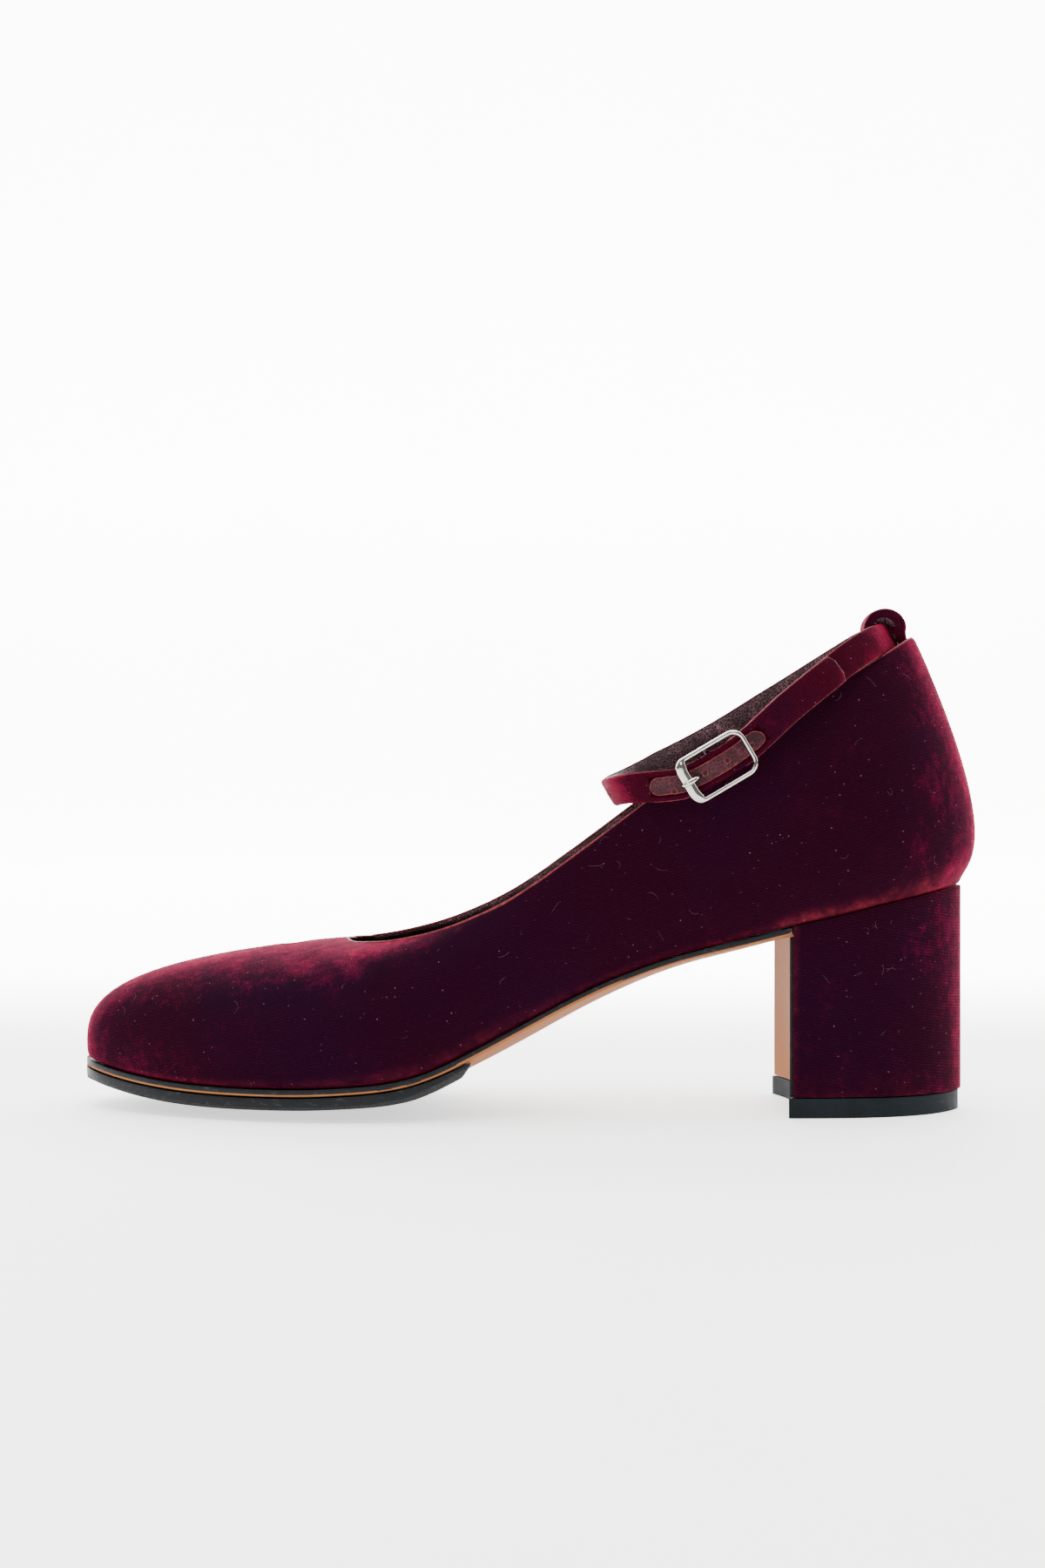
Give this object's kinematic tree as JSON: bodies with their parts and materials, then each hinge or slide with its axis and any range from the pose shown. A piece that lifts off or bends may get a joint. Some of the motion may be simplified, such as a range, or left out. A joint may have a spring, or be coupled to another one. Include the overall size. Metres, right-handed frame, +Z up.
{
  "type": "mary jane pump",
  "caption": "Left velvet pump with a covered block heel, low rounded toe and a buckled ankle strap through a loop at the back; stands on heel tip and forefoot.",
  "frame": {"origin": "on the floor, at the centre of the heel tip's ground face", "axes": "+X from heel to toe, +Y to the wearer's left (the outer side, with the buckle), +Z up"},
  "size_m": [0.2411, 0.0799, 0.1339],
  "materials": {
    "velvet": "short dense burgundy pile with a bright crimson sheen at grazing angles",
    "heel_velvet": "the same velvet drawn tight over the heel block",
    "strap_velvet": "velvet strap with a thin painted edge",
    "sock_leather": "smooth dark lining leather, slightly glossy",
    "sole_leather": "natural tan sole leather, satin, with a dark painted edge",
    "sole_rubber": "matte black rubber with a fine textured ground face",
    "tip_rubber": "dark blue-grey rubber, matte and scuffed",
    "strip_leather": "crackled dark red leather with pink raw edges",
    "polished_metal": "polished pale nickel"
  },
  "bodies": {
    "root": {"upper": "velvet", "insole": "sock_leather", "outsole": "sole_leather", "half_sole": "sole_rubber", "heel_block": "heel_velvet", "breast_cover": "sole_leather", "top_piece": "tip_rubber", "ankle_strap": "strap_velvet", "hole_strip": "strip_leather", "buckle_frame": "polished_metal", "buckle_prong": "polished_metal", "back_loop": "strap_velvet"}
  },
  "joints": []
}
